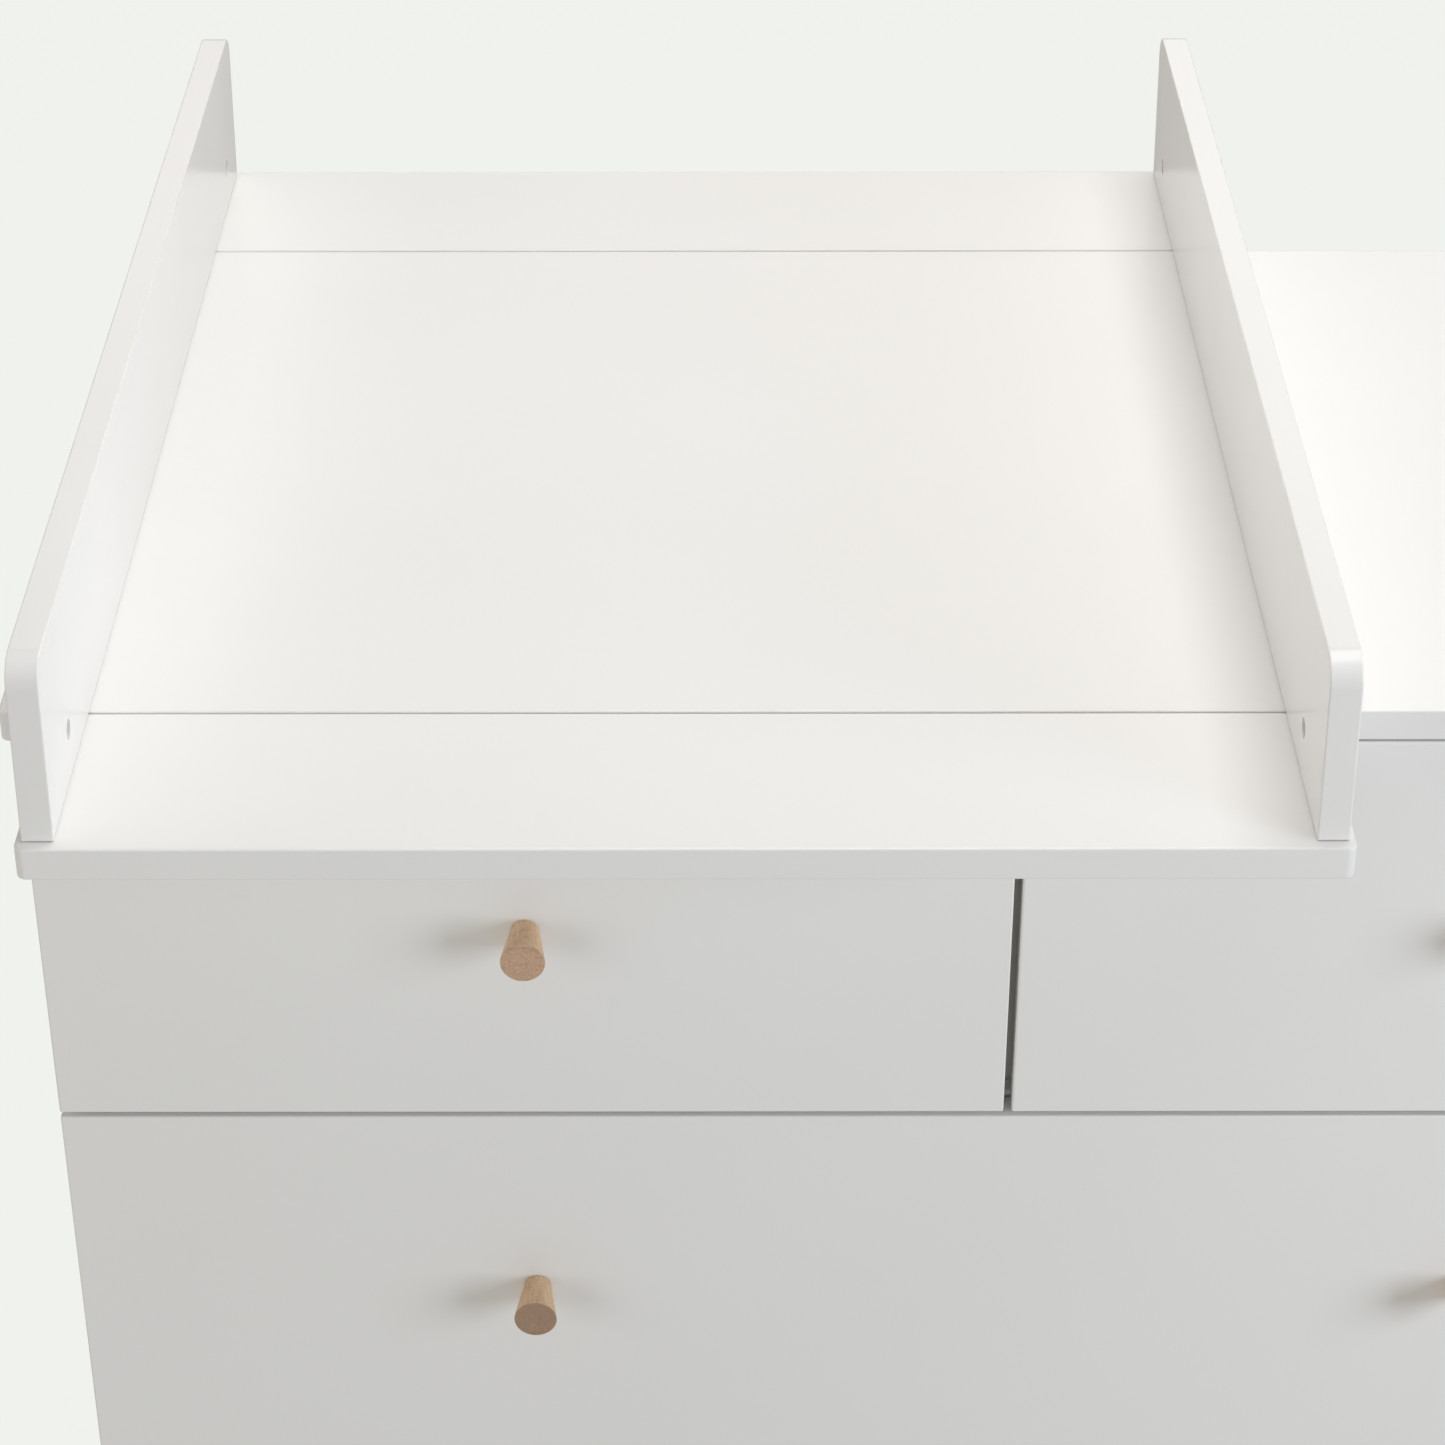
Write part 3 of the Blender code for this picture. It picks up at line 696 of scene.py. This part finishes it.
def add_leg(name, number, settings, finishes):
    """A tapered leg between its felt glide and its plate, which stand for the CAD leg."""
    node = "leg_" + name
    low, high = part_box(node)
    top = (high.x - low.x) / 2
    foot = top * LEG_TAPER
    felt = settings.glide_height
    length = high.z - low.z - felt - PLATE_THICKNESS
    place = Vector(((low.x + high.x) / 2, (low.y + high.y) / 2, low.z + felt))
    matrix, step = dowel_matrix((0, 0, 1), place, number)
    outline = [(foot * 0.5, 0), (foot, 0), (top, length), (top * 0.5, length)]
    profile = [(0, 0), *eased(outline, LEG_EASE), (0, length)]
    profile = [(radius, height + step) for radius, height in profile]
    mesh = turned_mesh(node + "_turned", profile, settings.turned_segments)
    leg = piece(node + "_turned", mesh, finishes["beech"], "cabinet", matrix)
    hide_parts(node)
    rim = foot - GLIDE_INSET
    pad = [(0, 0), *eased([(rim - GLIDE_INSET, 0), (rim, 0), (rim, felt)], GLIDE_EASE), (0, felt)]
    glide = turned_mesh(node + "_glide", pad, settings.turned_segments)
    piece(node + "_glide", glide, finishes["felt"], "cabinet",
          Matrix.Translation(place - Vector((0, 0, felt))))
    add_leg_plate(node, place + Vector((0, 0, length)), settings, finishes["steel"])


def add_leg_plate(node, place, settings, steel):
    """The steel plate above a leg, with rounded corners and four screws."""
    half, corner = settings.plate_width / 2, PLATE_CORNER
    shape = bmesh.new()
    outline = []
    for quarter in range(4):
        middle = Matrix.Rotation(math.radians(90 * quarter), 2) @ Vector((half - corner, half - corner))
        for step in range(7):
            angle = math.radians(90 * quarter + 15 * step)
            outline.append(shape.verts.new((
                middle.x + corner * math.cos(angle), middle.y + corner * math.sin(angle), 0,
            )))
    face = shape.faces.new(outline)
    lifted = bmesh.ops.extrude_face_region(shape, geom=[face])
    raised = [part for part in lifted["geom"] if isinstance(part, bmesh.types.BMVert)]
    bmesh.ops.translate(shape, vec=(0, 0, PLATE_THICKNESS - FIT), verts=raised)
    bmesh.ops.bevel(
        shape, geom=[edge for edge in shape.edges if abs(edge.verts[0].co.z - edge.verts[1].co.z) < 1e-6],
        offset=PLATE_EASE, segments=2, affect="EDGES",
    )
    piece(node + "_plate", mesh_of(node + "_plate", shape), steel, "cabinet",
          Matrix.Translation(place))
    reach = half - PLATE_SCREW_INSET
    head = pan_head_mesh(*PLATE_SCREW_HEAD)
    places = [
        pointing((0, 0, -1), (place.x + reach * across, place.y + reach * along, place.z))
        for across in (-1, 1) for along in (-1, 1)
    ]
    piece_group(node + "_screws", head, places, steel, "cabinet")


# ---------------------------------------------------------------- runners


WHEEL_LIFT = 0.0105                     # wheels' axles above the channel's lower edge
RAIL_LIFT = 0.0204                      # sliding rail's flange above the same edge
RAIL_WEB = 0.0190                       # height of the sliding rail's web
RAIL_REACH = 0.0025                     # rail's flange from the channel's outer face
WHEEL_GAP = 0.0020                      # wheels from the channel's outer face
WHEEL_WIDTH = 0.0070
RAIL_WHEEL_INSET = 0.0125               # rail's wheel from the rail's rear end
CHANNEL_WHEEL_INSET = 0.0110            # channel's wheel from the channel's front end
RAIL_BEND = 0.0016
RAIL_PIN_RADIUS = 0.0022
CHANNEL_PIN_RADIUS = 0.0024
RAIL_SCREW_HEAD = (0.0033, 0.0015)
CHANNEL_SCREW_HEAD = (0.0033, 0.0014)
RAIL_SCREW_LIFT = 0.011                 # above the rail's flange
CHANNEL_SCREW_LIFT = 0.0330             # above the channel's lower edge
RAIL_SCREWS = (0.09, 0.52, 0.90)        # shares of the rail's length
CHANNEL_SCREWS = (0.07, 0.50, 0.93)     # shares of the channel's length


def wheel_mesh(name, radius):
    """A nylon wheel with a rounded tread, a recessed face and a rivet."""
    face = WHEEL_WIDTH - 0.0012
    profile = [
        (0, 0),
        *eased([(radius * 0.5, 0), (radius, 0), (radius, WHEEL_WIDTH), (radius * 0.80, WHEEL_WIDTH),
                (radius * 0.74, face), (radius * 0.42, face), (radius * 0.38, WHEEL_WIDTH),
                (radius * 0.15, WHEEL_WIDTH)], 0.0007, 4),
        (0, WHEEL_WIDTH),
    ]
    return turned_mesh(name, profile, 48)


def pin_mesh(name, radius, length):
    """A plain pin that stands on z = 0."""
    return turned_mesh(name, [(0, 0), (radius, 0), (radius, length), (0, length)], 24)


def bent_strip(shape, path, start, stop, thickness):
    """Sheet of a thickness bent along a path of (x, z), from y = start to y = stop."""
    path = [Vector(point) for point in path]
    sides = []
    for index, point in enumerate(path):
        before = path[max(index - 1, 0)]
        after = path[min(index + 1, len(path) - 1)]
        along = (after - before).normalized()
        across = Vector((-along.y, along.x)) * thickness / 2
        sides.append((point + across, point - across))
    loop = [one for one, _ in sides] + [other for _, other in reversed(sides)]
    near = [shape.verts.new((point.x, start, point.y)) for point in loop]
    far = [shape.verts.new((point.x, stop, point.y)) for point in loop]
    count = len(loop)
    for i in range(count):
        shape.faces.new((near[i], near[(i + 1) % count], far[(i + 1) % count], far[i]))
    last = len(path) - 1
    for i in range(last):
        shape.faces.new((near[i], near[i + 1], near[count - 2 - i], near[count - 1 - i]))
        shape.faces.new((far[i + 1], far[i], far[count - 1 - i], far[count - 2 - i]))


def add_sliding_rail(drawer, side, settings, finishes):
    """The rail on a drawer's side: a folded strip that reaches into the channel, and its wheel."""
    name = f"{drawer}_rail_{side}"
    body = drawer + "_drawer"
    low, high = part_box(f"{drawer}_runner_{side}")
    box_low, box_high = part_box(f"{drawer}_side_{side}")
    inward = INWARD[side]
    channel = low.x if side == "left" else high.x
    wall = box_low.x if side == "left" else box_high.x
    web = wall - inward * (settings.sheet / 2 + 0.0001)
    flange = low.z + RAIL_LIFT
    start, stop = low.y + 0.001, box_high.y
    shape = bmesh.new()
    path = eased(
        [(web, flange + RAIL_WEB), (web, flange), (channel + inward * RAIL_REACH, flange)],
        RAIL_BEND, 4,
    )
    bent_strip(shape, path, start, stop, settings.sheet)
    axle = low.z + WHEEL_LIFT
    tab = [(web, axle - 0.006), (web, flange - 0.0003)]
    bent_strip(shape, tab, stop - 0.030, stop - 0.002, settings.sheet)
    piece(name, mesh_of(name, shape), finishes["steel"], body)
    wheel = wheel_mesh(name + "_wheel", settings.wheel_radius)
    place = Vector((channel + inward * WHEEL_GAP, stop - RAIL_WHEEL_INSET, axle))
    piece(name + "_wheel", wheel, finishes["nylon"], body, pointing((inward, 0, 0), place))
    pin_length = abs(web - channel) - WHEEL_GAP - WHEEL_WIDTH
    pin = pin_mesh(name + "_pin", RAIL_PIN_RADIUS, pin_length)
    place.x += inward * WHEEL_WIDTH
    piece(name + "_pin", pin, finishes["steel"], body, pointing((inward, 0, 0), place))
    head = pan_head_mesh(*RAIL_SCREW_HEAD)
    face = web - inward * settings.sheet / 2
    places = [
        pointing((-inward, 0, 0), (face, start + share * (stop - start), flange + RAIL_SCREW_LIFT))
        for share in RAIL_SCREWS
    ]
    piece_group(name + "_screws", head, places, finishes["steel"], body)


def add_channel_fittings(drawer, side, settings, finishes):
    """The fixed channel's front wheel, and the screws that hold it to the cabinet."""
    name = f"{drawer}_channel_{side}"
    low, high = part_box(f"{drawer}_runner_{side}")
    inward = INWARD[side]
    channel = low.x if side == "left" else high.x
    wheel = wheel_mesh(name + "_wheel", settings.wheel_radius)
    place = Vector((channel + inward * WHEEL_GAP, low.y + CHANNEL_WHEEL_INSET, low.z + WHEEL_LIFT))
    piece(name + "_wheel", wheel, finishes["nylon"], "cabinet", pointing((inward, 0, 0), place))
    pin = pin_mesh(name + "_pin", CHANNEL_PIN_RADIUS, WHEEL_GAP)
    place.x = channel
    piece(name + "_pin", pin, finishes["steel"], "cabinet", pointing((inward, 0, 0), place))
    head = pan_head_mesh(*CHANNEL_SCREW_HEAD)
    face = channel + inward * settings.sheet
    places = [
        pointing((inward, 0, 0), (face, low.y + share * (high.y - low.y), low.z + CHANNEL_SCREW_LIFT))
        for share in CHANNEL_SCREWS
    ]
    piece_group(name + "_screws", head, places, finishes["steel"], "cabinet")


# ---------------------------------------------------------------- operators

BUMPER_HEIGHT = 0.0016
BUMPER_FROM_ENDS = (0.014, 0.016)       # from a front's lower and upper edges
CAM_FROM_ENDS = 0.034                   # from a box side's front, rear and upper edges
CAM_FROM_FOOT = 0.042                   # from its lower edge
NAIL_INSET = 0.008                      # back nails from the panel's edges
CAP_INSET = 0.030                       # cover caps from the ends of their board
BRACKET_SHEET = 0.002
BRACKET_SCREW_FROM_END = 0.012
BRACKET_SCREW_HEAD = (0.0034, 0.0018)


def finishes():
    """All finishes, made once and then found by name."""
    scene = bpy.context.scene
    makers = {
        "lacquer": ("satin_lacquer", lambda: lacquer_finish(scene.table_lacquer)),
        "foil": ("drawer_foil", lambda: foil_finish(scene.table_lacquer)),
        "hardboard": ("painted_hardboard", lambda: hardboard_finish(scene.table_lacquer)),
        "beech": ("turned_beech", lambda: beech_finish(scene.table_beech)),
        "steel": ("zinc_plated_steel", steel_finish),
        "nylon": ("wheel_nylon", lambda: moulded_finish(
            "wheel_nylon", (0.78, 0.77, 0.72), (0.70, 0.69, 0.64), 0.42, 0.0012, 0.00001)),
        "felt": ("felt", lambda: moulded_finish(
            "felt", (0.30, 0.27, 0.24), (0.20, 0.18, 0.16), 0.90, 0.0009, 0.0002)),
        "silicone": ("bumper_silicone", lambda: moulded_finish(
            "bumper_silicone", (0.74, 0.745, 0.73), (0.66, 0.665, 0.65), 0.33, 0.0016, 0.00002)),
        "cap": ("cover_cap", lambda: moulded_finish(
            "cover_cap", (0.80, 0.79, 0.765), (0.77, 0.76, 0.735), 0.40, 0.0011, 0.00001)),
    }
    found = {}
    for key, (name, make) in makers.items():
        found[key] = MADE.get(name) or make()
        MADE[name] = found[key]
    return found


MADE = {}


class TABLE_OT_boards(bpy.types.Operator):
    """Finish the lacquered boards, the drawer boxes, the hardboard and the steel parts"""

    bl_idname = "changing_table.boards"
    bl_label = "Finish the Boards"

    def execute(self, context):
        made = finishes()
        finish_nodes(("white_lacquer",), made["lacquer"])
        finish_nodes(("drawer_box_board",), made["foil"])
        finish_nodes(("painted_hardboard",), made["hardboard"])
        finish_nodes(("zinc_plated_steel",), made["steel"])
        finish_nodes(("natural_beech",), made["beech"])
        return {"FINISHED"}


class TABLE_OT_knobs(bpy.types.Operator):
    """Turn the six wooden knobs and fit the screws that hold them"""

    bl_idname = "changing_table.knobs"
    bl_label = "Knobs"

    def execute(self, context):
        made = finishes()
        settings = context.scene.table_fittings
        head = pan_head_mesh(*KNOB_SCREW_HEAD)
        number = 0
        for drawer, nodes in KNOBS.items():
            body = drawer + "_drawer"
            _, front_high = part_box(drawer + "_front")
            for node in nodes:
                add_knob(node, number, settings, made["beech"], body)
                low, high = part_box(node)
                place = ((low.x + high.x) / 2, front_high.y, (low.z + high.z) / 2)
                piece(node + "_screw", head.copy(), made["steel"], body,
                      pointing((0, 1, 0), place))
                number += 1
        return {"FINISHED"}


class TABLE_OT_legs(bpy.types.Operator):
    """Turn the four legs, with their felt glides, plates and screws"""

    bl_idname = "changing_table.legs"
    bl_label = "Legs"

    def execute(self, context):
        made = finishes()
        for number, name in enumerate(LEGS, start=FIRST_LEG):
            add_leg(name, number, context.scene.table_fittings, made)
        return {"FINISHED"}


class TABLE_OT_runners(bpy.types.Operator):
    """Fit the wheels, the sliding rails and the screws of the drawer runners"""

    bl_idname = "changing_table.runners"
    bl_label = "Runners"

    def execute(self, context):
        made = finishes()
        for drawer in DRAWERS:
            for side in INWARD:
                add_channel_fittings(drawer, side, context.scene.table_fittings, made)
                add_sliding_rail(drawer, side, context.scene.table_fittings, made)
        return {"FINISHED"}


class TABLE_OT_drawer_fittings(bpy.types.Operator):
    """Fit the soft bumpers behind the drawer fronts and the cams in the drawer boxes"""

    bl_idname = "changing_table.drawer_fittings"
    bl_label = "Drawer Fittings"

    def execute(self, context):
        made = finishes()
        settings = context.scene.table_fittings
        radius, height = settings.bumper_radius, BUMPER_HEIGHT
        pad = turned_mesh("bumper", [
            (0, 0), *eased([(radius * 0.5, 0), (radius, 0), (radius * 0.85, height), (radius * 0.4, height)],
                           0.0007), (0, height)], 32)
        cam = cross_recessed("cam", [
            (0, -0.0001), *eased([(0.0050, -0.0001), (0.0062, -0.0001), (0.0062, 0.0004), (0.0050, 0.0004)],
                                 0.0003), (0, 0.0004)], 0.0012, 0.0034, 0.0003)
        for drawer in DRAWERS:
            body = drawer + "_drawer"
            low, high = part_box(drawer + "_front")
            places = [
                pointing((0, 1, 0), (x, high.y, z))
                for x in (low.x + self.edge_inset(low.x), high.x - self.edge_inset(high.x))
                for z in (low.z + BUMPER_FROM_ENDS[0], high.z - BUMPER_FROM_ENDS[1])
            ]
            piece_group(drawer + "_bumpers", pad, places, made["silicone"], body)
            places = []
            for side, inward in INWARD.items():
                box_low, box_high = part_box(f"{drawer}_side_{side}")
                face = box_high.x if side == "left" else box_low.x
                for y in (box_low.y + CAM_FROM_ENDS, box_high.y - CAM_FROM_ENDS):
                    for z in (box_low.z + CAM_FROM_FOOT, box_high.z - CAM_FROM_ENDS):
                        places.append(pointing((inward, 0, 0), (face, y, z)))
            piece_group(drawer + "_cams", cam, places, made["steel"], body)
        return {"FINISHED"}

    @staticmethod
    def edge_inset(edge):
        """How far a bumper sits from that edge of the front, to meet the board behind it."""
        return 0.009 if abs(edge) > 0.1 else 0.0035


class TABLE_OT_cabinet_fixings(bpy.types.Operator):
    """Fit the nails of the back, the cover caps under the cabinet and the brackets' screws"""

    bl_idname = "changing_table.cabinet_fixings"
    bl_label = "Cabinet Fixings"

    def execute(self, context):
        made = finishes()
        self.add_back_nails(made["steel"])
        self.add_cover_caps(made["cap"])
        self.add_bracket_screws(made["steel"])
        return {"FINISHED"}

    @staticmethod
    def add_back_nails(steel):
        """Nails round the back panel and down its middle."""
        low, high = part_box("back_panel")
        nail = turned_mesh("nail", [(0, 0), *eased([(0.0016, 0), (0.0016, 0.0004), (0.0008, 0.0005)],
                                                   0.0003, 3), (0, 0.0005)], 20)
        inset, across, down = NAIL_INSET, 9, 7
        xs = [low.x + inset + i * (high.x - low.x - 2 * inset) / (across - 1) for i in range(across)]
        zs = [low.z + inset + i * (high.z - low.z - 2 * inset) / (down - 1) for i in range(down)]
        spots = {(x, z) for x in xs for z in (zs[0], zs[-1])} | {(x, z) for x in (xs[0], xs[-1]) for z in zs}
        divider_low, divider_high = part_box("centre_divider")
        middle = (divider_low.x + divider_high.x) / 2
        tall = divider_high.z - divider_low.z
        spots |= {(middle, divider_low.z + share * tall) for share in (0.2, 0.5, 0.8)}
        places = [pointing((0, 1, 0), (x, high.y, z)) for x, z in sorted(spots)]
        piece_group("back_nails", nail, places, steel, "cabinet")

    @staticmethod
    def add_cover_caps(finish):
        """Caps over the cams in the undersides of the cabinet's bottom and shelf."""
        cap = turned_mesh("cap", [(0, 0), *eased([(0.0085, 0), (0.0085, 0.0004), (0.0060, 0.0009)],
                                                 0.0005, 4), (0, 0.0010)], 40)
        places = []
        for node, depths in (("cabinet_bottom", (-0.12, 0.15)), ("middle_shelf", (-0.20, 0.20))):
            low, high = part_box(node)
            for x in (low.x + CAP_INSET, high.x - CAP_INSET):
                places += [pointing((0, 0, -1), (x, y, low.z)) for y in depths]
        piece_group("cover_caps", cap, places, finish, "cabinet")

    @staticmethod
    def add_bracket_screws(steel):
        """Two screws in each bracket behind the tray."""
        head = pan_head_mesh(*BRACKET_SCREW_HEAD)
        for side in INWARD:
            node = "tray_bracket_" + side
            low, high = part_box(node)
            middle = (low.x + high.x) / 2
            inset = BRACKET_SCREW_FROM_END
            places = [
                pointing((0, 1, 0), (middle, low.y + BRACKET_SHEET, low.z + inset)),
                pointing((0, 0, -1), (middle, high.y - inset, high.z - BRACKET_SHEET)),
            ]
            piece_group(node + "_screws", head, places, steel, "cabinet")


SOFTBOXES = {
    "overhead": ((0.27, 0.1, 3.1), (0.27, 0.1, 0.0), (1.6, 2.0), (1.0, 0.995, 0.99)),
    "key": ((2.5, -1.9, 1.25), (0.0, -0.1, 0.75), (1.5, 1.5), (0.84, 0.90, 1.0)),
    "fill": ((-2.4, -2.2, 1.3), (0.0, -0.1, 0.7), (1.8, 1.6), (1.0, 1.0, 1.0)),
    "left": ((-2.6, -0.2, 1.5), (0.0, 0.0, 0.9), (1.6, 1.4), (1.0, 0.93, 0.82)),
    "rear": ((0.0, 2.6, 2.3), (0.0, 0.0, 0.9), (2.4, 1.4), (1.0, 0.97, 0.93)),
}


class TABLE_OT_studio(bpy.types.Operator):
    """Set up the floor, the backdrop, the lights and the camera"""

    bl_idname = "changing_table.studio"
    bl_label = "Studio"

    def execute(self, context):
        settings = context.scene.table_studio
        context.scene.view_settings.view_transform = "Standard"
        self.add_floor(settings)
        self.set_backdrop(context.scene, settings)
        for name, (place, target, size, tint) in SOFTBOXES.items():
            self.add_softbox(name, place, target, size, getattr(settings, name), tint)
        self.add_camera(context.scene, settings)
        return {"FINISHED"}

    @staticmethod
    def add_floor(settings):
        """A wide, slightly uneven plain floor that is nearly as bright as the backdrop."""
        shape = bmesh.new()
        bmesh.ops.create_grid(shape, x_segments=8, y_segments=8, size=14)
        floor = bpy.data.objects.new("floor", bpy.data.meshes.new("floor"))
        shape.to_mesh(floor.data)
        shape.free()
        bpy.context.scene.collection.objects.link(floor)
        floor.location.z = -0.0005
        finish = Finish("studio_floor")
        seen = finish.add("ShaderNodeLightPath").outputs["Is Camera Ray"]
        warm = [settings.floor_light * channel for channel in (1.0, 0.976, 0.90)]
        finish.set(
            base_color=(0.03, 0.03, 0.03), roughness=1.0, specular_ior_level=0.0,
            emission_color=finish.mixed(seen, warm, settings.backdrop), emission_strength=1.0,
        )
        floor.data.materials.append(finish.material)

    @staticmethod
    def set_backdrop(scene, settings):
        """The backdrop's own colour where it shows, and a weaker even light from it."""
        world = bpy.data.worlds.new("studio")
        scene.world = world
        world.use_nodes = True
        nodes, links = world.node_tree.nodes, world.node_tree.links
        nodes.clear()
        shown = nodes.new("ShaderNodeBackground")
        shown.inputs["Color"].default_value = (*settings.backdrop, 1)
        even = nodes.new("ShaderNodeBackground")
        even.inputs["Color"].default_value = (1.0, 0.98, 0.95, 1)
        even.inputs["Strength"].default_value = settings.ambient
        path = nodes.new("ShaderNodeLightPath")
        mix = nodes.new("ShaderNodeMixShader")
        output = nodes.new("ShaderNodeOutputWorld")
        links.new(path.outputs["Is Camera Ray"], mix.inputs["Fac"])
        links.new(even.outputs[0], mix.inputs[1])
        links.new(shown.outputs[0], mix.inputs[2])
        links.new(mix.outputs[0], output.inputs["Surface"])

    @staticmethod
    def add_softbox(name, place, target, size, power, tint):
        """A rectangular softbox that faces its target."""
        light = bpy.data.lights.new(name, "AREA")
        light.shape = "RECTANGLE"
        light.size, light.size_y = size
        light.energy = power
        light.color = tint
        made = bpy.data.objects.new(name, light)
        bpy.context.scene.collection.objects.link(made)
        made.location = place
        facing = Vector(target) - Vector(place)
        made.rotation_euler = facing.to_track_quat("-Z", "Y").to_euler()
        made.visible_camera = False

    @staticmethod
    def add_camera(scene, settings):
        """The camera at its stand, tilted down at the tray."""
        camera = bpy.data.objects.new("camera", bpy.data.cameras.new("camera"))
        camera.data.lens = settings.lens
        camera.data.sensor_width = 36
        camera.data.clip_end = 60
        scene.collection.objects.link(camera)
        camera.matrix_world = (
            Matrix.Translation(settings.stand)
            @ Matrix.Rotation(settings.turn, 4, "Z")
            @ Matrix.Rotation(math.radians(90) - settings.tilt, 4, "X")
            @ Matrix.Rotation(settings.roll, 4, "Z")
        )
        scene.camera = camera


class TABLE_PT_panel(bpy.types.Panel):
    """Lists the steps and what can be changed"""

    bl_idname = "TABLE_PT_panel"
    bl_label = "Changing Table"
    bl_space_type = "VIEW_3D"
    bl_region_type = "UI"
    bl_category = "Changing Table"

    def draw(self, context):
        for step in STEPS:
            self.layout.operator(step.bl_idname, text=step.bl_label)
        for name, group in GROUPS.items():
            box = self.layout.box()
            box.label(text=group.__doc__.rstrip("."))
            for key in group.__annotations__:
                box.prop(getattr(context.scene, name), key)


STEPS = (
    TABLE_OT_boards,
    TABLE_OT_knobs,
    TABLE_OT_legs,
    TABLE_OT_runners,
    TABLE_OT_drawer_fittings,
    TABLE_OT_cabinet_fixings,
    TABLE_OT_studio,
)
CLASSES = (*GROUPS.values(), *STEPS, TABLE_PT_panel)


def register():
    """Register the classes, and the settings on the scene."""
    for made in CLASSES:
        bpy.utils.register_class(made)
    for name, group in GROUPS.items():
        setattr(bpy.types.Scene, name, PointerProperty(type=group))


def unregister():
    """Undo register."""
    for name in GROUPS:
        delattr(bpy.types.Scene, name)
    for made in reversed(CLASSES):
        bpy.utils.unregister_class(made)


def main():
    """Run every step in order."""
    register()
    bpy.ops.changing_table.boards()
    bpy.ops.changing_table.knobs()
    bpy.ops.changing_table.legs()
    bpy.ops.changing_table.runners()
    bpy.ops.changing_table.drawer_fittings()
    bpy.ops.changing_table.cabinet_fixings()
    bpy.ops.changing_table.studio()


if __name__ == "__main__":
    main()
